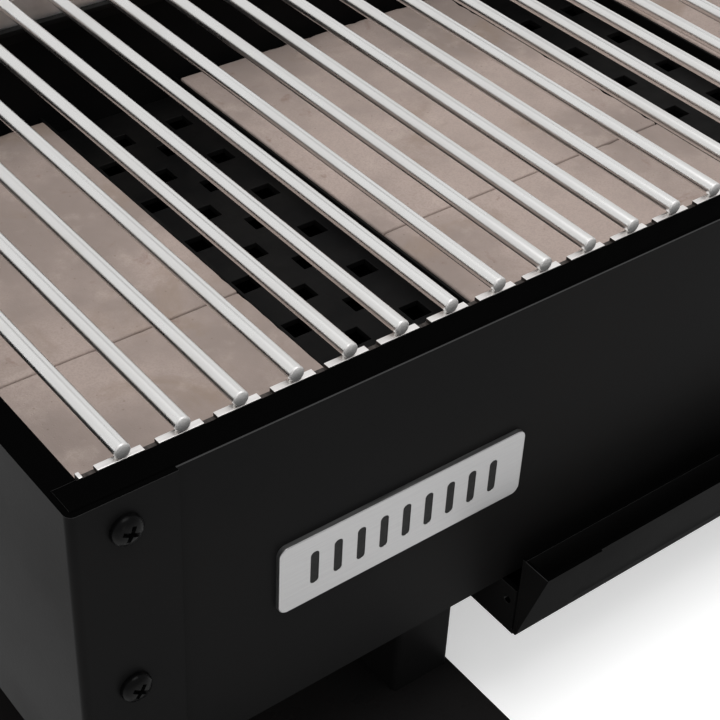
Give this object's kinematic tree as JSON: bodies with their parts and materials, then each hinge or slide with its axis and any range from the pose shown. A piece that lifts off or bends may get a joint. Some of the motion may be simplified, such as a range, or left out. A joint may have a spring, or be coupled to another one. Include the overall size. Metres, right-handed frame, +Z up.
{
  "type": "charbroiler grill",
  "caption": "Countertop charcoal charbroiler: brick-lined steel firebox, lift-out rod grates, pull-out ash drawer and a pedestal stand at each side.",
  "frame": {"origin": "on the counter, under the middle of the stand's two base plates", "axes": "+X to the right along the long front, +Y from the front to the rear, +Z up"},
  "size_m": [0.886, 0.52, 0.311],
  "materials": {
    "powder_black": "satin",
    "base_black": "gloss",
    "firebox_inner_black": "matte",
    "ash_plate_steel": "matte",
    "rod_stainless": "polished",
    "comb_stainless": "satin",
    "fire_brick": "matte",
    "screw_black": "satin",
    "zinc_steel": "satin",
    "plate_aluminium": "satin",
    "inlay_black": "matte",
    "foot_rubber": "matte"
  },
  "bodies": {
    "firebox": {"front_wall": "powder_black", "rear_wall": "powder_black", "end_panel_left": "powder_black", "end_panel_right": "powder_black", "floor_pan": "powder_black", "corner_screws": "screw_black", "corner_nuts": "zinc_steel", "brick_tray_left": "firebox_inner_black", "brick_tray_middle": "firebox_inner_black", "brick_tray_right": "firebox_inner_black", "fire_brick_front_left": "fire_brick", "fire_brick_front_middle": "fire_brick", "fire_brick_front_right": "fire_brick", "fire_brick_rear_left": "fire_brick", "fire_brick_rear_middle": "fire_brick", "fire_brick_rear_right": "fire_brick", "ash_plate_left": "ash_plate_steel", "ash_plate_right": "ash_plate_steel", "ash_chute_left": "firebox_inner_black", "ash_chute_right": "firebox_inner_black", "grate_ledge_front": "firebox_inner_black", "grate_ledge_rear": "firebox_inner_black", "name_plate": "plate_aluminium", "name_plate_inlay": "inlay_black", "name_plate_studs": "zinc_steel", "name_plate_nuts": "zinc_steel", "drawer_runner_left": "powder_black", "drawer_runner_right": "powder_black", "drawer_stop": "powder_black", "front_post_left": "powder_black", "front_post_right": "powder_black", "rear_post_left": "powder_black", "rear_post_right": "powder_black", "top_rail_left": "powder_black", "top_rail_right": "powder_black", "base_plate_left": "base_black", "base_plate_right": "base_black", "feet_left": "foot_rubber", "feet_right": "foot_rubber", "foot_screws": "zinc_steel", "stand_bolts": "zinc_steel", "stand_nuts": "zinc_steel"},
    "ash_drawer": {"ash_drawer_tray": "powder_black", "ash_drawer_front": "powder_black", "ash_drawer_lip": "powder_black", "ash_drawer_rivets": "screw_black"},
    "grate_left": {"grate_rods_left": "rod_stainless", "grate_front_comb_left": "comb_stainless", "grate_rear_comb_left": "comb_stainless"},
    "grate_right": {"grate_rods_right": "rod_stainless", "grate_front_comb_right": "comb_stainless", "grate_rear_comb_right": "comb_stainless"}
  },
  "joints": [
    {"name": "ash_drawer_slide", "type": "slide", "parent": "firebox", "child": "ash_drawer", "axis": [0, -1, 0], "range_m": [0, 0.3]},
    {"name": "grate_left_lift", "type": "slide", "parent": "firebox", "child": "grate_left", "axis": [0, 0, 1], "range_m": [0, 0.06]},
    {"name": "grate_right_lift", "type": "slide", "parent": "firebox", "child": "grate_right", "axis": [0, 0, 1], "range_m": [0, 0.06]}
  ]
}
